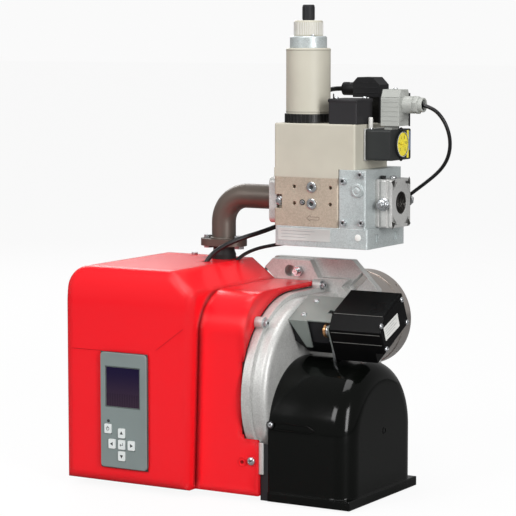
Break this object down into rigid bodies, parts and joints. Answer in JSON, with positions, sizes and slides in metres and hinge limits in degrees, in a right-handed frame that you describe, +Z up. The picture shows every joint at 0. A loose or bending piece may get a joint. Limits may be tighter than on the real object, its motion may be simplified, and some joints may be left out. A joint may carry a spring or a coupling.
{
  "type": "industrial gas burner",
  "caption": "Forced-draught gas burner: red hood over a cast fan casing, blast tube on a slotted boiler flange, black air intake with servo damper, and a valve train on top.",
  "frame": {"origin": "centre of the boiler flange's boiler-side face, on the axis of the blast tube", "axes": "+Y along the blast tube into the boiler, +X towards the air intake, +Z up"},
  "size_m": [0.4891, 0.4015, 0.65],
  "materials": {
    "beige_plastic": "satin beige",
    "black_plastic": "moulded",
    "black_rubber": "matt",
    "block_alloy": "die-cast",
    "brass": "turned",
    "bright_steel": "turned",
    "burnished_steel": "burnished",
    "cable_black": "sheathed",
    "cast_alloy": "sand-cast, matt",
    "ceramic": "glazed ceramic",
    "connector_black": "satin",
    "connector_grey": "satin grey",
    "dial_yellow": "satin",
    "display_glass": "dark display",
    "galvanised": "galvanised",
    "gloss_black": "gloss",
    "head_steel": "stainless",
    "key_white": "satin",
    "motor_alloy": "die-cast",
    "panel_grey": "satin grey",
    "pipe_steel": "dark steel tube",
    "red_paint": "gloss red",
    "ribbed_black": "ribbed",
    "servo_black": "moulded, satin",
    "sheet_steel": "galvanised sheet",
    "switch_black": "moulded",
    "terminal_black": "satin",
    "valve_alloy": "die-cast",
    "zinc_plate": "zinc plated sheet",
    "zinc_steel": "zinc plated"
  },
  "bodies": {
    "burner": {"blast_tube": "burnished_steel", "boiler_flange": "cast_alloy", "brake_ring": "block_alloy", "burner_cover": "red_paint", "casing_bolts": "zinc_steel", "coil_ring": "ribbed_black", "control_unit": "black_plastic", "cover_screws": "zinc_steel", "damper_housing": "black_plastic", "display_window": "display_glass", "elbow_bolts": "zinc_steel", "fan_casing_left": "cast_alloy", "fan_casing_right": "cast_alloy", "flange_bolts": "zinc_steel", "flange_studs": "zinc_steel", "gas_elbow": "pipe_steel", "gas_head_pipe": "pipe_steel", "head_plate": "cast_alloy", "inlet_block": "block_alloy", "inlet_cone": "sheet_steel", "inlet_flange": "cast_alloy", "intake_box": "gloss_black", "motor_housing": "motor_alloy", "outlet_flange": "cast_alloy", "panel_frame": "panel_grey", "pipe_seal": "black_rubber", "pressure_switch": "switch_black", "servo_bracket": "zinc_plate", "servo_motor": "servo_black", "servo_pedestal": "black_plastic", "solenoid_coil": "beige_plastic", "switch_cable": "cable_black", "switch_connector": "connector_grey", "terminal_box": "terminal_black", "valve_base": "valve_alloy", "valve_body": "valve_alloy", "valve_cable": "cable_black", "valve_connector": "connector_black", "valve_housing": "beige_plastic"},
    "fan_rotor": {"fan_impeller": "galvanised", "motor_shaft": "bright_steel"},
    "servo_drive": {"servo_hub": "brass", "servo_lever": "zinc_steel"},
    "linkage": {"link_rod": "zinc_steel"},
    "damper": {"damper_flap": "sheet_steel", "damper_shaft": "bright_steel"},
    "dial": {"pressure_dial": "dial_yellow"},
    "flow_cap": {"brake_cap": "beige_plastic"},
    "flow_stem": {"brake_stem": "black_plastic"},
    "plunger": {"valve_plunger": "bright_steel"},
    "firing_head": {"gas_nozzle": "head_steel", "diffuser_disc": "head_steel", "head_electrodes": "ceramic"},
    "key_down": {"key_down": "key_white"},
    "key_enter": {"key_enter": "key_white"},
    "key_left": {"key_left": "key_white"},
    "key_reset": {"key_reset": "key_white"},
    "key_right": {"key_right": "key_white"},
    "key_up": {"key_up": "key_white"}
  },
  "joints": [
    {"name": "fan_spin", "type": "hinge", "parent": "burner", "child": "fan_rotor", "pos_m": [0, -0.111, -0.063], "axis": [1, 0, 0], "continuous": true},
    {"name": "servo_turn", "type": "hinge", "parent": "burner", "child": "servo_drive", "pos_m": [0.1025, -0.155, 0.022], "axis": [1, 0, 0], "range_deg": [0, 90]},
    {"name": "rod_swing", "type": "hinge", "parent": "servo_drive", "child": "linkage", "pos_m": [0.0994, -0.14086, 0.00786], "axis": [1, 0, 0], "range_deg": [-90, 0]},
    {"name": "damper_turn", "type": "hinge", "parent": "burner", "child": "damper", "pos_m": [0.07, -0.111, -0.14], "axis": [1, 0, 0], "range_deg": [0, 90]},
    {"name": "dial_turn", "type": "hinge", "parent": "burner", "child": "dial", "pos_m": [0.157, -0.055, 0.264], "axis": [1, 0, 0], "range_deg": [0, 270]},
    {"name": "cap_turn", "type": "hinge", "parent": "burner", "child": "flow_cap", "pos_m": [0.025, -0.074, 0.4175], "axis": [0, 0, 1], "range_deg": [0, 330]},
    {"name": "stem_turn", "type": "hinge", "parent": "burner", "child": "flow_stem", "pos_m": [0.025, -0.074, 0.44], "axis": [0, 0, 1], "range_deg": [0, 330]},
    {"name": "plunger_lift", "type": "slide", "parent": "burner", "child": "plunger", "axis": [0, 0, 1], "range_m": [0, 0.006], "stiffness_N_per_m": 400, "springref_m": -0.006},
    {"name": "head_slide", "type": "slide", "parent": "burner", "child": "firing_head", "axis": [0, 1, 0], "range_m": [0, 0.02]},
    {"name": "key_down_press", "type": "slide", "parent": "burner", "child": "key_down", "axis": [0, 1, 0], "range_m": [0, 0.0008], "stiffness_N_per_m": 900, "springref_m": -0.0004},
    {"name": "key_enter_press", "type": "slide", "parent": "burner", "child": "key_enter", "axis": [0, 1, 0], "range_m": [0, 0.0008], "stiffness_N_per_m": 900, "springref_m": -0.0004},
    {"name": "key_left_press", "type": "slide", "parent": "burner", "child": "key_left", "axis": [0, 1, 0], "range_m": [0, 0.0008], "stiffness_N_per_m": 900, "springref_m": -0.0004},
    {"name": "key_reset_press", "type": "slide", "parent": "burner", "child": "key_reset", "axis": [0, 1, 0], "range_m": [0, 0.0008], "stiffness_N_per_m": 900, "springref_m": -0.0004},
    {"name": "key_right_press", "type": "slide", "parent": "burner", "child": "key_right", "axis": [0, 1, 0], "range_m": [0, 0.0008], "stiffness_N_per_m": 900, "springref_m": -0.0004},
    {"name": "key_up_press", "type": "slide", "parent": "burner", "child": "key_up", "axis": [0, 1, 0], "range_m": [0, 0.0008], "stiffness_N_per_m": 900, "springref_m": -0.0004}
  ],
  "couplings": [
    {"joint": "damper_turn", "follows": "servo_turn", "ratio": 1},
    {"joint": "rod_swing", "follows": "servo_turn", "ratio": -1}
  ]
}
